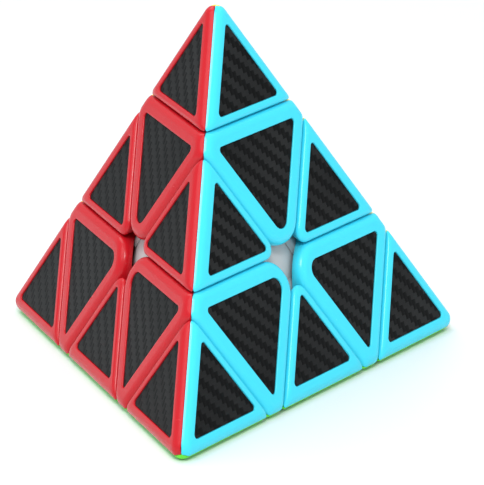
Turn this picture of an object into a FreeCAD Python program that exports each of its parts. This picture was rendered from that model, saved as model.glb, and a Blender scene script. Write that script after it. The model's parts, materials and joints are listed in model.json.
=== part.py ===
import FreeCAD, Part
import math
import os

# A tetrahedral twisty puzzle.  The origin is the centre of the core ball, +Z runs up
# through the top vertex, and the front vertex of the base points along -Y.
#
# Every outer piece is built once, in the frame of the top vertex, for the face whose
# outward normal has azimuth zero.  Turning that one piece about the origin gives its
# twelve places, one for each pair of a face and a vertex of that face.

OUTPUT_FOLDER = "parts"

# Angles of a regular tetrahedron, in degrees.
FACE_TILT = math.degrees(math.acos(1 / 3))
VERTEX_TILT = 180 - FACE_TILT
EDGE_SPLIT_TILT = FACE_TILT / 2
DOWN = 180
SIDE = 90
THIRD = 120
HALF_THIRD = 60
HALF_TURN = 180
# Azimuths of the three vertices of the base, in the frame that pieces are built in.
BASE_VERTICES = (60, 180, 300)

# Two flat faces nearer than this, in millimetres, lie in the same plane.
SAME_PLANE = 0.001
# Length of the pieces that a helix is split into, so that its sweep meshes closed.
HELIX_STEP = 0.5

DIMENSIONS = [
    ("edge_length", 100, "sharp edge of the whole pyramid"),
    ("tip_fraction", 0.3237, "share of an edge that each tip takes"),
    ("strip_fraction", 0.0235, "share of an edge that each axial piece shows"),
    ("seam_gap", 0.3, "space between neighbouring pieces"),
    ("wall", 2, "shell thickness of the coloured plastic"),
    ("edge_round", 2.4, "rounding of the pyramid's own edges"),
    ("seam_round", 0.9, "rounding along the seams"),
    ("hole_round", 2.2, "rounding of an edge piece beside the face centre"),
    ("axial_corner_round", 4.6, "rounding of an axial cap beside the face centre"),
    ("acute_frame", 2.3, "coloured frame inside the seams of a tip or an edge piece"),
    ("blunt_frame", 3.3, "coloured frame inside the seams of an axial piece"),
    ("tip_rim", 4.1, "coloured frame of a tip, inside the pyramid's edges"),
    ("edge_rim", 4.55, "coloured frame of an edge piece, inside the pyramid's edge"),
    ("sticker_round", 0.8, "corner rounding of a sticker"),
    ("sticker_thickness", 0.3, "sticker thickness"),
    ("recess_depth", 0.5, "depth of the recess that holds a sticker"),
    ("recess_play", 0.08, "space round a sticker in its recess"),
    ("ball_radius", 17.2, "core ball"),
    ("arm_radius", 3.5, "core arm"),
    ("arm_top", 22, "end of a core arm, from the centre"),
    ("foot_inner", 17.4, "inner sphere of the edge feet"),
    ("foot_outer", 18.4, "outer sphere of the edge feet"),
    ("foot_plane", 5.4, "plane that a layer's feet stay beyond"),
    ("foot_window", 4.5, "radius left clear of feet at a face centre"),
    ("cap_inner", 18.6, "sphere that the axial caps reach down to"),
    ("floor_thickness", 1.4, "thickness of a shell's curved floor"),
    ("stalk_radius", 8, "axial inner body"),
    ("stalk_play", 0.02, "space between an axial body and its caps"),
    ("ball_play", 0.2, "space between an axial body and the ball"),
    ("arm_bore", 3.56, "bore of an axial body round a core arm"),
    ("arm_bore_top", 22.4, "top of that bore"),
    ("seat_bore", 1.9, "hole in the spring seat"),
    ("spring_seat", 24, "height of the spring seat"),
    ("well_radius", 5, "well in an axial body"),
    ("groove_radius", 0.8, "section radius of the snap groove"),
    ("groove_ring", 4.9, "ring radius of the snap groove"),
    ("bead_radius", 0.7, "section radius of the snap bead"),
    ("bead_ring", 4.6, "ring radius of the snap bead"),
    ("snap_height", 31.9, "height of the snap bead"),
    ("stem_inner", 3.8, "inner radius of a tip stem"),
    ("stem_outer", 4.85, "outer radius of a tip stem"),
    ("stem_bottom", 29.3, "lower end of a tip stem"),
    ("spring_mean_radius", 2.8, "spring coil, to the wire centre"),
    ("spring_wire", 0.35, "spring wire radius"),
    ("spring_pitch", 1.3, "spring coil spacing"),
    ("washer_radius", 3.4, "washer"),
    ("washer_bore", 1.7, "washer hole"),
    ("washer_bottom", 29.8, "under side of the washer"),
    ("washer_thickness", 0.6, "washer thickness"),
    ("screw_radius", 1.5, "screw shank"),
    ("screw_bottom", 9, "point of the screw"),
    ("screw_head_radius", 2.9, "screw head"),
    ("screw_head_height", 1.9, "screw head"),
    ("screw_slot_length", 3.8, "cross slot of the screw head"),
    ("screw_slot_width", 0.9, "cross slot of the screw head"),
    ("screw_slot_depth", 1.1, "cross slot of the screw head"),
    ("pilot_radius", 1.52, "pilot hole in a core arm"),
    ("pilot_relief", 0.5, "space in the pilot hole below the screw point"),
    ("reach", 180, "size of the construction solids"),
]

FACE = "sizes.edge_length * sqrt(6) / 12"
TIP_CUT = f"({FACE}) * (3 - 4 * sizes.tip_fraction)"
DEEP_CUT = f"({FACE}) * (4 * sizes.tip_fraction + 4 * sizes.strip_fraction - 1)"
HALF_GAP = "sizes.seam_gap / 2"
# The end turns of a spring stand this far in from its seat and its washer.
COIL_END = "1.2 * sizes.spring_wire"

doc = FreeCAD.newDocument("pyramid_puzzle")


def make_sheet():
    """Write the driving dimensions and return their spreadsheet."""
    sheet = doc.addObject("Spreadsheet::Sheet", "sizes")
    for row, (alias, value, note) in enumerate(DIMENSIONS, start=1):
        sheet.set(f"A{row}", str(value))
        sheet.setAlias(f"A{row}", alias)
        sheet.set(f"B{row}", note)
    doc.recompute()
    return sheet


sizes = make_sheet()


def bind(thing, **expressions):
    """Bind properties of a document object to expressions on the sheet."""
    for name, expression in expressions.items():
        thing.setExpression(name, expression)
    return thing


def place(thing, azimuth=0, tilt=0, x="0", y="0", z="0"):
    """Tilt a solid from +Z, turn it to an azimuth, and shift it in its own frame."""
    turn = f"create(<<rotation>>; {azimuth}; {tilt}; 0)"
    shift = f"create(<<vector>>; {x}; {y}; {z})"
    origin = "create(<<vector>>; 0; 0; 0)"
    still = "create(<<rotation>>; 0; 0; 0)"
    thing.setExpression(
        "Placement",
        f"create(<<placement>>; {origin}; {turn}) * create(<<placement>>; {shift}; {still})",
    )
    return thing


def slab(name, azimuth, tilt, distance):
    """Big box that ends at a plane: its outward normal and its distance from the origin."""
    box = doc.addObject("Part::Box", name)
    bind(box, Length="sizes.reach", Width="sizes.reach", Height="sizes.reach")
    half = "-sizes.reach / 2"
    return place(box, azimuth, tilt, half, half, f"{distance} - sizes.reach")


def cylinder(name, radius, low, high, azimuth=0, tilt=0, x="0"):
    """Round bar along an axis from the origin, between two distances on it."""
    bar = doc.addObject("Part::Cylinder", name)
    bind(bar, Radius=radius, Height=f"{high} - ({low})")
    return place(bar, azimuth, tilt, x, "0", low)


def sphere(name, radius):
    """Ball about the origin."""
    return bind(doc.addObject("Part::Sphere", name), Radius=radius)


def torus(name, ring, section, height):
    """Ring about +Z at a height."""
    ring_solid = doc.addObject("Part::Torus", name)
    bind(ring_solid, Radius1=ring, Radius2=section)
    return place(ring_solid, z=height)


def common(name, *things):
    """Intersection of several solids."""
    result = doc.addObject("Part::MultiCommon", name)
    result.Shapes = list(things)
    return result


def fuse(name, *things):
    """Union of several solids."""
    result = doc.addObject("Part::MultiFuse", name)
    result.Shapes = list(things)
    return result


def cut(name, base, *tools):
    """Base solid less one or more tools."""
    result = doc.addObject("Part::Cut", name)
    result.Base = base
    result.Tool = tools[0] if len(tools) == 1 else fuse(f"{name}_tools", *tools)
    return result


def group(name, *things):
    """Several solids kept separate in one object."""
    result = doc.addObject("Part::Compound", name)
    result.Links = list(things)
    return result


def round_edges(name, base, radius_for):
    """Fillet the edges for which radius_for(edge, faces) gives a radius."""
    doc.recompute()
    chosen = []
    for index, edge in enumerate(base.Shape.Edges, start=1):
        radius = radius_for(edge, base.Shape.ancestorsOfType(edge, Part.Face))
        if radius:
            chosen.append((index, radius, radius))
    result = doc.addObject("Part::Fillet", name)
    result.Base = base
    result.Edges = chosen
    return result


def normal_of(face):
    """Outward unit normal at the middle of a face."""
    u_low, u_high, v_low, v_high = face.ParameterRange
    return face.normalAt((u_low + u_high) / 2, (v_low + v_high) / 2)


def is_outer(face):
    """True when a flat face lies in one of the pyramid's four faces."""
    distance = sizes.edge_length * math.sqrt(6) / 12
    return abs(abs(face.CenterOfMass.dot(normal_of(face))) - distance) < SAME_PLANE


def outer_radius(edge, faces):
    """Rounding of a piece's edge from the kind of the two faces that meet there."""
    outer = sum(is_outer(face) for face in faces)
    return {0: 0, 1: sizes.seam_round, 2: sizes.edge_round}[outer]


def face_slabs(name, distance):
    """The three faces that meet at the top vertex."""
    return [slab(f"{name}_face_{k}", k * THIRD, FACE_TILT, distance) for k in range(3)]


def sector(name):
    """Two slabs that keep the third of a piece that lies under the face of azimuth zero."""
    turn = SIDE + HALF_THIRD
    return [slab(f"{name}_side_{k}", k, SIDE, "0") for k in (turn, -turn)]


def tip_block(name, inset):
    """Small pyramid of a tip, with all its planes moved in by inset."""
    base = f"-({TIP_CUT}) - {HALF_GAP} - {inset}"
    planes = face_slabs(name, f"{FACE} - {inset}") + [slab(f"{name}_base", 0, DOWN, base)]
    return common(name, *planes)


def axial_block(name, inset):
    """Block of an axial piece, with all its planes moved in by inset."""
    planes = face_slabs(name, f"{FACE} - {inset}")
    planes.append(slab(f"{name}_top", 0, 0, f"{TIP_CUT} - {HALF_GAP} - {inset}"))
    planes.append(slab(f"{name}_bottom", 0, DOWN, f"-({DEEP_CUT}) - {HALF_GAP} - {inset}"))
    for k in BASE_VERTICES:
        distance = f"{DEEP_CUT} - {HALF_GAP} - {inset}"
        planes.append(slab(f"{name}_layer_{k}", k, VERTEX_TILT, distance))
    return common(name, *planes)


def edge_block(name, inset):
    """Small pyramid of an edge piece, with all its planes moved in by inset."""
    planes = [slab(f"{name}_face", 0, FACE_TILT, f"{FACE} - {inset}")]
    planes.append(slab(f"{name}_under", 0, DOWN, f"{FACE} - {inset}"))
    for k in (HALF_THIRD, -HALF_THIRD):
        distance = f"-({DEEP_CUT}) - {HALF_GAP} - {inset}"
        planes.append(slab(f"{name}_layer_{k}", k + HALF_TURN, FACE_TILT, distance))
    return common(name, *planes)


def triangle(name, circumradius, centre_x, flip, low, high):
    """Triangular plate on the face of azimuth zero; x runs down the face."""
    plate = doc.addObject("Part::Prism", name)
    plate.Polygon = 3
    bind(plate, Circumradius=circumradius, Height=f"{high} - ({low})")
    origin = "create(<<vector>>; 0; 0; 0)"
    tilt = f"create(<<rotation>>; 0; {FACE_TILT}; 0)"
    shift = f"create(<<vector>>; {centre_x}; 0; {low})"
    spin = f"create(<<rotation>>; {flip}; 0; 0)"
    plate.setExpression(
        "Placement",
        f"create(<<placement>>; {origin}; {tilt}) * create(<<placement>>; {shift}; {spin})",
    )
    return plate


# Height of a face, and places on it measured down from its centre.
ALTITUDE = "(sizes.edge_length * sqrt(3) / 2)"
VERTEX_X = "(-sizes.edge_length / sqrt(3))"
TIP_X = f"({VERTEX_X} + sizes.tip_fraction * {ALTITUDE})"
CORNER_X = f"({VERTEX_X} + (2 * sizes.tip_fraction + 2 * sizes.strip_fraction) * {ALTITUDE})"
BASE_X = "(sizes.edge_length * sqrt(3) / 6)"


def between(name, tip_x, base_x, inset_tip, inset_base, flip, low, high):
    """Triangular plate from its corner to its opposite side, moved in from both."""
    # A side moved in by d moves the opposite corner by 2 d, and the inradius falls by d.
    height = f"abs({base_x} - {tip_x})"
    sign = "1" if flip else "-1"
    radius = f"({height} - 2 * {inset_tip} - {inset_base}) * 2 / 3"
    centre = f"{base_x} + ({sign}) * -({inset_base} + ({radius}) / 2)"
    return triangle(name, radius, centre, 180 if flip else 0, low, high)


def tip_outline(name, grow, low, high):
    """Sticker outline of a tip, grown by a small play."""
    seam = f"(sizes.acute_frame - {grow})"
    rim = f"(sizes.tip_rim - {grow})"
    return between(name, VERTEX_X, TIP_X, rim, seam, True, low, high)


def edge_outline(name, grow, low, high):
    """Sticker outline of an edge piece, grown by a small play."""
    corner = f"({BASE_X} - (1 - 2 * sizes.tip_fraction - 2 * sizes.strip_fraction) * {ALTITUDE})"
    seam = f"(sizes.acute_frame - {grow})"
    rim = f"(sizes.edge_rim - {grow})"
    return between(name, corner, BASE_X, seam, rim, True, low, high)


def axial_outline(name, grow, low, high):
    """Sticker outline of an axial piece, grown by a small play."""
    seam = f"(sizes.blunt_frame - {grow})"
    return between(name, CORNER_X, TIP_X, seam, seam, False, low, high)


def sticker(name, outline):
    """Sticker plate with rounded corners, just under the face."""
    low = f"{FACE} - sizes.recess_depth"
    plate = outline(f"{name}_plate", "0", low, f"{low} + sizes.sticker_thickness")
    return round_edges(name, plate, upright_radius)


def recess(name, outline):
    """Tool that sinks the sticker's recess into a face."""
    low = f"{FACE} - sizes.recess_depth"
    tool = outline(f"{name}_tool", "sizes.recess_play", low, f"{low} + 2 * sizes.recess_depth")
    return round_edges(name, tool, upright_radius)


def upright_radius(edge, faces):
    """Rounding of the edges of a plate that stand square to the face."""
    normal = FreeCAD.Rotation(0, FACE_TILT, 0).multVec(FreeCAD.Vector(0, 0, 1))
    upright = edge.tangentAt(edge.FirstParameter).isEqual(normal, SAME_PLANE)
    turned_over = edge.tangentAt(edge.FirstParameter).isEqual(-normal, SAME_PLANE)
    return sizes.sticker_round if upright or turned_over else 0


def make_tip_wedge():
    """A third of a tip: hollow, with a third of the snap stem and a sticker recess."""
    outer = round_edges("tip_outer", tip_block("tip_solid", "0"), outer_radius)
    hollow = tip_block("tip_hollow", "sizes.wall")
    shell = cut("tip_shell", outer, hollow, recess("tip_recess", tip_outline))
    top = f"{TIP_CUT} + {HALF_GAP} + sizes.wall"
    bar = cylinder("stem_bar", "sizes.stem_outer", "sizes.stem_bottom", top)
    bead = torus("stem_bead", "sizes.bead_ring", "sizes.bead_radius", "sizes.snap_height")
    bore = cylinder("stem_bore", "sizes.stem_inner", "sizes.stem_bottom", top)
    stem = cut("stem", fuse("stem_solid", bar, bead), bore)
    open_shell = cut("tip_open_shell", shell, bore)
    return common("tip_wedge", fuse("tip_whole", open_shell, stem), *sector("tip_wedge"))


def make_corner_cutter():
    """Tool that rounds the axial cap's corner beside the face centre."""
    # Two sides at 60 degrees: the arc's centre is twice its radius from their meeting
    # point, and it touches them one and a half radii from that point.
    arc_x = f"{CORNER_X} - 2 * sizes.axial_corner_round - sizes.seam_gap"
    touch_x = f"{CORNER_X} - 1.5 * sizes.axial_corner_round - sizes.seam_gap"
    block = doc.addObject("Part::Box", "corner_block")
    bind(block, Length="sizes.edge_length / 4", Width="sizes.edge_length / 4")
    bind(block, Height="sizes.edge_length / 4")
    place(block, 0, FACE_TILT, touch_x, "-sizes.edge_length / 8", f"{FACE} - sizes.edge_length / 8")
    bar = cylinder("corner_bar", "sizes.axial_corner_round", "0", "sizes.edge_length",
                   0, FACE_TILT, arc_x)
    return cut("corner_cutter", block, bar)


def make_axial_cap():
    """Coloured cap of an axial piece for one face."""
    outer = round_edges("axial_outer", axial_block("axial_solid", "0"), outer_radius)
    cleared = sphere("cap_clear", "sizes.cap_inner")
    floor = sphere("cap_floor", "sizes.cap_inner + sizes.floor_thickness")
    hollow = cut("axial_hollow", axial_block("axial_inner", "sizes.wall"), floor)
    stalk = cylinder("cap_stalk", "sizes.stalk_radius + sizes.stalk_play", "0", "sizes.reach / 2")
    sink = recess("axial_recess", axial_outline)
    shell = cut("axial_shell", outer, cleared, hollow, stalk, sink, make_corner_cutter())
    return common("axial_cap", shell, *sector("axial_cap"))


def make_edge_half():
    """Half of an edge piece: hollow, with half of its foot and a sticker recess."""
    outer = round_edges("edge_outer", edge_block("edge_solid", "0"), edge_radius)
    foot_core = sphere("foot_core", "sizes.foot_inner")
    floor = sphere("edge_floor", "sizes.foot_outer + sizes.floor_thickness")
    hollow = cut("edge_hollow", edge_block("edge_inner", "sizes.wall"), floor)
    sink = recess("edge_recess", edge_outline)
    planes = []
    for k in (HALF_THIRD, -HALF_THIRD):
        planes.append(slab(f"foot_plane_{k}", k + HALF_TURN, FACE_TILT, "-sizes.foot_plane"))
    ring = sphere("foot_ring", "sizes.foot_outer")
    windows = [
        cylinder("window_face", "sizes.foot_window", "0", "sizes.edge_length", 0, FACE_TILT),
        cylinder("window_under", "sizes.foot_window", "0", "sizes.edge_length", 0, DOWN),
    ]
    foot = cut("foot", common("foot_solid", ring, *planes), *windows)
    shell = cut("edge_shell", outer, hollow, sink)
    whole = cut("edge_whole", fuse("edge_joined", shell, foot), foot_core)
    split = slab("edge_split", HALF_TURN, DOWN - EDGE_SPLIT_TILT, "0")
    return common("edge_half", whole, split)


def edge_radius(edge, faces):
    """Rounding of an edge piece: as any piece, with a larger one beside the face centre."""
    return outer_radius(edge, faces) or sizes.hole_round


def make_axial_body():
    """Inner body of an axial piece: turns on a core arm and holds the spring and the tip."""
    top = f"{TIP_CUT} - {HALF_GAP}"
    bar = cylinder("body_bar", "sizes.stalk_radius", "0", top)
    ball = sphere("body_ball", "sizes.ball_radius + sizes.ball_play")
    arm = cylinder("body_arm_bore", "sizes.arm_bore", "0", "sizes.arm_bore_top")
    seat = cylinder("body_seat_bore", "sizes.seat_bore", "0", "sizes.reach / 4")
    well = cylinder("body_well", "sizes.well_radius", "sizes.spring_seat", "sizes.reach / 4")
    groove = torus("body_groove", "sizes.groove_ring", "sizes.groove_radius", "sizes.snap_height")
    return cut("axial_body", bar, ball, arm, seat, well, groove)


def make_screw():
    """Axle screw with a cross slot, along +Z."""
    head_low = "sizes.washer_bottom + sizes.washer_thickness"
    head_high = f"{head_low} + sizes.screw_head_height"
    shank = cylinder("screw_shank", "sizes.screw_radius", "sizes.screw_bottom", head_low)
    head = cylinder("screw_head", "sizes.screw_head_radius", head_low, head_high)
    slots = []
    for k in (0, SIDE):
        slot = doc.addObject("Part::Box", f"screw_slot_{k}")
        bind(slot, Length="sizes.screw_slot_length", Width="sizes.screw_slot_width")
        bind(slot, Height="sizes.screw_slot_depth * 2")
        low = f"{head_high} - sizes.screw_slot_depth"
        across = "-sizes.screw_slot_length / 2"
        slots.append(place(slot, k, 0, across, "-sizes.screw_slot_width / 2", low))
    return cut("axle_screw", fuse("screw_solid", shank, head), *slots)


def make_spring():
    """Compression spring round the screw."""
    helix = doc.addObject("Part::Helix", "spring_path")
    bind(helix, Radius="sizes.spring_mean_radius", Pitch="sizes.spring_pitch")
    bind(helix, Height=f"sizes.washer_bottom - sizes.spring_seat - 2 * {COIL_END}")
    helix.SegmentLength = HELIX_STEP
    section = doc.addObject("Part::Circle", "spring_section")
    bind(section, Radius="sizes.spring_wire")
    section.Placement = FreeCAD.Placement(
        FreeCAD.Vector(sizes.spring_mean_radius, 0, 0), FreeCAD.Rotation(0, 0, SIDE)
    )
    coil = doc.addObject("Part::Sweep", "spring_coil")
    coil.Sections = [section]
    coil.Spine = helix
    coil.Solid = True
    coil.Frenet = True
    spring = group("spring", coil)
    return place(spring, z=f"sizes.spring_seat + {COIL_END}")


def make_washer():
    """Washer between the spring and the screw head."""
    top = "sizes.washer_bottom + sizes.washer_thickness"
    disc = cylinder("washer_disc", "sizes.washer_radius", "sizes.washer_bottom", top)
    bore = cylinder("washer_hole", "sizes.washer_bore", "sizes.washer_bottom", top)
    return cut("washer", disc, bore)


def turned(name, shape, rotation):
    """The same solid at another place: turned about the origin."""
    copy = group(name, shape)
    copy.Placement = FreeCAD.Placement(FreeCAD.Vector(), rotation)
    return copy


VERTICES = {
    "top": FreeCAD.Vector(0, 0, 1),
    "front": FreeCAD.Vector(0, -math.sqrt(8) / 3, -1 / 3),
    "right": FreeCAD.Vector(math.sqrt(6) / 3, math.sqrt(2) / 3, -1 / 3),
    "left": FreeCAD.Vector(-math.sqrt(6) / 3, math.sqrt(2) / 3, -1 / 3),
}
# Each face lies opposite one vertex.
FACES = {"green": "top", "yellow": "front", "red": "right", "blue": "left"}
EDGES = {
    "front_edge": ("top", "front"),
    "right_edge": ("top", "right"),
    "left_edge": ("top", "left"),
    "base_right_edge": ("front", "right"),
    "base_left_edge": ("front", "left"),
    "base_back_edge": ("right", "left"),
}


def rotation_to(vertex, face):
    """Rotation from the frame that pieces are built in to a vertex and a face beside it."""
    axis = VERTICES[vertex]
    normal = VERTICES[FACES[face]] * -1
    across = normal - axis * normal.dot(axis)
    across.normalize()
    return FreeCAD.Rotation(across, axis.cross(across), axis, "ZXY")


def faces_at(*vertices):
    """Names of the faces that hold all of the given vertices."""
    return [face for face, opposite in FACES.items() if opposite not in vertices]


def make_core():
    """Ball with four arms, and a pilot hole down each arm."""
    ball = sphere("core_ball_solid", "sizes.ball_radius")
    arm = cylinder("core_arm", "sizes.arm_radius", "0", "sizes.arm_top")
    pilot_low = "sizes.screw_bottom - sizes.pilot_relief"
    pilot = cylinder("core_pilot", "sizes.pilot_radius", pilot_low, "sizes.reach / 4")
    arms = []
    pilots = []
    for vertex in VERTICES:
        rotation = rotation_to(vertex, faces_at(vertex)[0])
        arms.append(turned(f"core_arm_{vertex}", arm, rotation))
        pilots.append(turned(f"core_pilot_{vertex}", pilot, rotation))
    return cut("core_ball", fuse("core_solid", ball, *arms), *pilots)


def around_all(name, shape):
    """One of the same solid on each of the four vertex axes."""
    copies = []
    for vertex in VERTICES:
        rotation = rotation_to(vertex, faces_at(vertex)[0])
        copies.append(turned(f"{name}_{vertex}", shape, rotation))
    return group(name, *copies)


def build_nodes():
    """Build every piece and return the document objects that are written out."""
    tip_wedge = make_tip_wedge()
    axial_cap = make_axial_cap()
    edge_half = make_edge_half()
    axial_body = make_axial_body()
    plates = {
        "tip": sticker("tip_sticker", tip_outline),
        "axial": sticker("axial_sticker", axial_outline),
        "edge": sticker("edge_sticker", edge_outline),
    }
    nodes = [make_core(), around_all("axle_screws", make_screw())]
    nodes.append(around_all("axle_springs", make_spring()))
    nodes.append(around_all("axle_washers", make_washer()))
    for vertex in VERTICES:
        stickers = {"tip": [], "axial": []}
        for face in faces_at(vertex):
            rotation = rotation_to(vertex, face)
            nodes.append(turned(f"{vertex}_tip_{face}", tip_wedge, rotation))
            nodes.append(turned(f"{vertex}_axial_{face}", axial_cap, rotation))
            for kind, plate in stickers.items():
                plate.append(turned(f"{vertex}_{kind}_sticker_{face}", plates[kind], rotation))
        nodes.append(group(f"{vertex}_tip_stickers", *stickers["tip"]))
        nodes.append(group(f"{vertex}_axial_stickers", *stickers["axial"]))
        rotation = rotation_to(vertex, faces_at(vertex)[0])
        nodes.append(turned(f"{vertex}_axial_body", axial_body, rotation))
    for edge, ends in EDGES.items():
        plates_here = []
        for face in faces_at(*ends):
            third = next(v for v in VERTICES if v not in ends and v != FACES[face])
            rotation = rotation_to(third, face)
            nodes.append(turned(f"{edge}_{face}", edge_half, rotation))
            plates_here.append(turned(f"{edge}_sticker_{face}", plates["edge"], rotation))
        nodes.append(group(f"{edge}_stickers", *plates_here))
    return nodes


def check(nodes):
    """Stop when any object failed or any piece is not a valid solid."""
    for thing in doc.Objects:
        if "Invalid" in thing.State or "Error" in thing.State:
            raise RuntimeError(f"{thing.Label} failed to compute")
    for node in nodes:
        shape = node.Shape
        if shape.isNull() or not shape.isValid() or not shape.Solids:
            raise RuntimeError(f"{node.Label} has no valid solid")
        if any(solid.Volume <= 0 for solid in shape.Solids):
            raise RuntimeError(f"{node.Label} has an inside-out solid")


def main():
    """Build, check and write the model."""
    nodes = build_nodes()
    doc.recompute()
    check(nodes)
    os.makedirs(OUTPUT_FOLDER, exist_ok=True)
    for node in nodes:
        node.Shape.exportStep(os.path.join(OUTPUT_FOLDER, f"{node.Label}.step"))
        print(f"{node.Label}: {len(node.Shape.Solids)} solids, {node.Shape.Volume:.1f} mm3")
    print(f"{len(nodes)} nodes")


main()
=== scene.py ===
"""Looks of a tetrahedral twisty puzzle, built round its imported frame.

Every coloured shell and every sticker is a grid surface.  A shell is worked out once, in the
flat coordinates of one face (x down the face from its centre, y across it, depth inwards),
and then carried to each of its twelve places by the axes of a face and a vertex.
"""

import json
import logging
import math
from dataclasses import dataclass, field
from enum import Enum

import bpy
import numpy as np
from mathutils import Matrix, Vector

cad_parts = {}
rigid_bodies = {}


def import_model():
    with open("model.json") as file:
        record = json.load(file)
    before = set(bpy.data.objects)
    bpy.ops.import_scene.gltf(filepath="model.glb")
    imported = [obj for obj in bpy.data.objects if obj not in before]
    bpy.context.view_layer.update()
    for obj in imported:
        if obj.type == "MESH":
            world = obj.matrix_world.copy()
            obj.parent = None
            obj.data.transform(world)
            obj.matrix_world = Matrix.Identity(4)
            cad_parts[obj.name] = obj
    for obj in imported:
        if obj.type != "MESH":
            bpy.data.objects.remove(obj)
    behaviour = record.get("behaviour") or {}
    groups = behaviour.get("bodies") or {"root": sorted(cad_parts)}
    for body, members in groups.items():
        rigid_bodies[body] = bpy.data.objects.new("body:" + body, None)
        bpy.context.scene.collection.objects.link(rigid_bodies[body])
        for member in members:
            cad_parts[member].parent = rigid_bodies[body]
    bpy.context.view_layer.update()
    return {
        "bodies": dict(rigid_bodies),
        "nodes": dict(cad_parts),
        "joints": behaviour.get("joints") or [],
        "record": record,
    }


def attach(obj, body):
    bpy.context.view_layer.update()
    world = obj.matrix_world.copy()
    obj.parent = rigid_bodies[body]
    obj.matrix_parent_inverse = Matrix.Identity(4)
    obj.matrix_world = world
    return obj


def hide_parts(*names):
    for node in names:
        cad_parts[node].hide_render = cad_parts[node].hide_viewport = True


LOG = logging.getLogger("pyramid_puzzle")
MM = 0.001
HALF_DIHEDRAL = math.asin(1 / math.sqrt(3))
DIHEDRAL = 2 * HALF_DIHEDRAL
AXIS_SLOPE = math.sqrt(8) / 3
HALVINGS = 40
SHARP_SHELL = 32
SHARP_STICKER = 50


class Corner(Enum):
    """Unit directions from the core's centre to the four vertices of the pyramid."""

    TOP = (0.0, 0.0, 1.0)
    FRONT = (0.0, -math.sqrt(8) / 3, -1 / 3)
    RIGHT = (math.sqrt(6) / 3, math.sqrt(2) / 3, -1 / 3)
    LEFT = (-math.sqrt(6) / 3, math.sqrt(2) / 3, -1 / 3)

    @property
    def direction(self) -> np.ndarray:
        """The vertex direction as an array."""
        return np.array(self.value)

    @property
    def word(self) -> str:
        """The vertex's name in node names."""
        return self.name.lower()


class Side(Enum):
    """The four faces, each lying opposite one vertex."""

    GREEN = Corner.TOP
    YELLOW = Corner.FRONT
    RED = Corner.RIGHT
    BLUE = Corner.LEFT

    @property
    def normal(self) -> np.ndarray:
        """Outward unit normal of the face."""
        return -self.value.direction

    @property
    def word(self) -> str:
        """The face's colour in node names."""
        return self.name.lower()

    @property
    def corners(self) -> list[Corner]:
        """The three vertices of the face."""
        return [corner for corner in Corner if corner is not self.value]


EDGE_NAMES = {
    frozenset((Corner.TOP, Corner.FRONT)): "front_edge",
    frozenset((Corner.TOP, Corner.RIGHT)): "right_edge",
    frozenset((Corner.TOP, Corner.LEFT)): "left_edge",
    frozenset((Corner.FRONT, Corner.RIGHT)): "base_right_edge",
    frozenset((Corner.FRONT, Corner.LEFT)): "base_left_edge",
    frozenset((Corner.RIGHT, Corner.LEFT)): "base_back_edge",
}


@dataclass(frozen=True)
class Pyramid:
    """Driving sizes of the whole puzzle, in metres."""

    edge: float
    tip_fraction: float = 0.3237
    strip_fraction: float = 0.0235
    gap: float = 0.3 * MM
    foot_inner: float = 17.32 * MM
    foot_outer: float = 17.9 * MM
    cap_inner: float = 18.0 * MM
    stalk: float = 8.02 * MM

    @property
    def altitude(self) -> float:
        """Height of a face triangle."""
        return self.edge * math.sqrt(3) / 2

    @property
    def face_distance(self) -> float:
        """Distance from the core's centre to a face."""
        return self.edge * math.sqrt(6) / 12

    @property
    def vertex_x(self) -> float:
        """Face coordinate of the sharp vertex."""
        return -self.edge / math.sqrt(3)

    @property
    def base_x(self) -> float:
        """Face coordinate of the far pyramid edge."""
        return self.edge * math.sqrt(3) / 6

    def down(self, fraction: float) -> float:
        """Face coordinate at a fraction of the way from the vertex to the far edge."""
        return self.vertex_x + fraction * self.altitude

    @property
    def tip_cut(self) -> float:
        """Height of the tip's seam along its vertex axis."""
        return self.face_distance / 3 - self.down(self.tip_fraction) * AXIS_SLOPE

    def axis_to_face(self, along: np.ndarray, out: np.ndarray, turn: np.ndarray) -> np.ndarray:
        """Face coordinates of points given about the vertex axis.

        Args:
            along: Distances along the axis from the core's centre.
            out: Distances from the axis.
            turn: Angles about the axis, zero towards the face.

        Returns:
            Points (x, y, depth), last axis over coordinates.
        """
        x = out * np.cos(turn) / 3 - along * AXIS_SLOPE
        y = out * np.sin(turn)
        depth = self.face_distance - along / 3 - out * np.cos(turn) * AXIS_SLOPE
        return np.stack([x, y, depth], axis=-1)

    def cap_depth(self, x: np.ndarray, y: np.ndarray) -> np.ndarray:
        """Depth at which the caps' inner sphere lies under a point of the face."""
        return self.face_distance - np.sqrt(np.maximum(self.cap_inner**2 - x**2 - y**2, 0))

    def from_axis(self, points: np.ndarray) -> np.ndarray:
        """Distances from the vertex axis of points in face coordinates.

        Args:
            points: Points, last axis over coordinates.

        Returns:
            One distance for each point.
        """
        height = self.face_distance - points[..., 2]
        along = height / 3 - points[..., 0] * AXIS_SLOPE
        reach = (points**2)[..., :2].sum(axis=-1) + height**2
        return np.sqrt(np.maximum(reach - along**2, 0))


class SideKind(Enum):
    """What a side of a shell's outline is, with the angle inside the plastic there."""

    SEAM_IN = DIHEDRAL
    SEAM_OUT = math.pi - DIHEDRAL
    PARTING = HALF_DIHEDRAL


@dataclass(frozen=True)
class Line:
    """One straight side of an outline: its outward direction and its distance."""

    turn: float
    offset: float
    kind: SideKind
    frame: float
    bend: float

    @property
    def normal(self) -> np.ndarray:
        """Outward unit direction in the face."""
        angle = math.radians(self.turn)
        return np.array([math.cos(angle), math.sin(angle)])


@dataclass(frozen=True)
class Rounding:
    """Radii that soften a shell, in metres."""

    acute_seam: float = 0.9 * MM
    blunt_seam: float = 1.9 * MM
    pyramid_edge: float = 2.4 * MM
    parting_gap: float = 0.05 * MM
    lip: float = 0.20 * MM
    crown: float = 0.10 * MM


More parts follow.
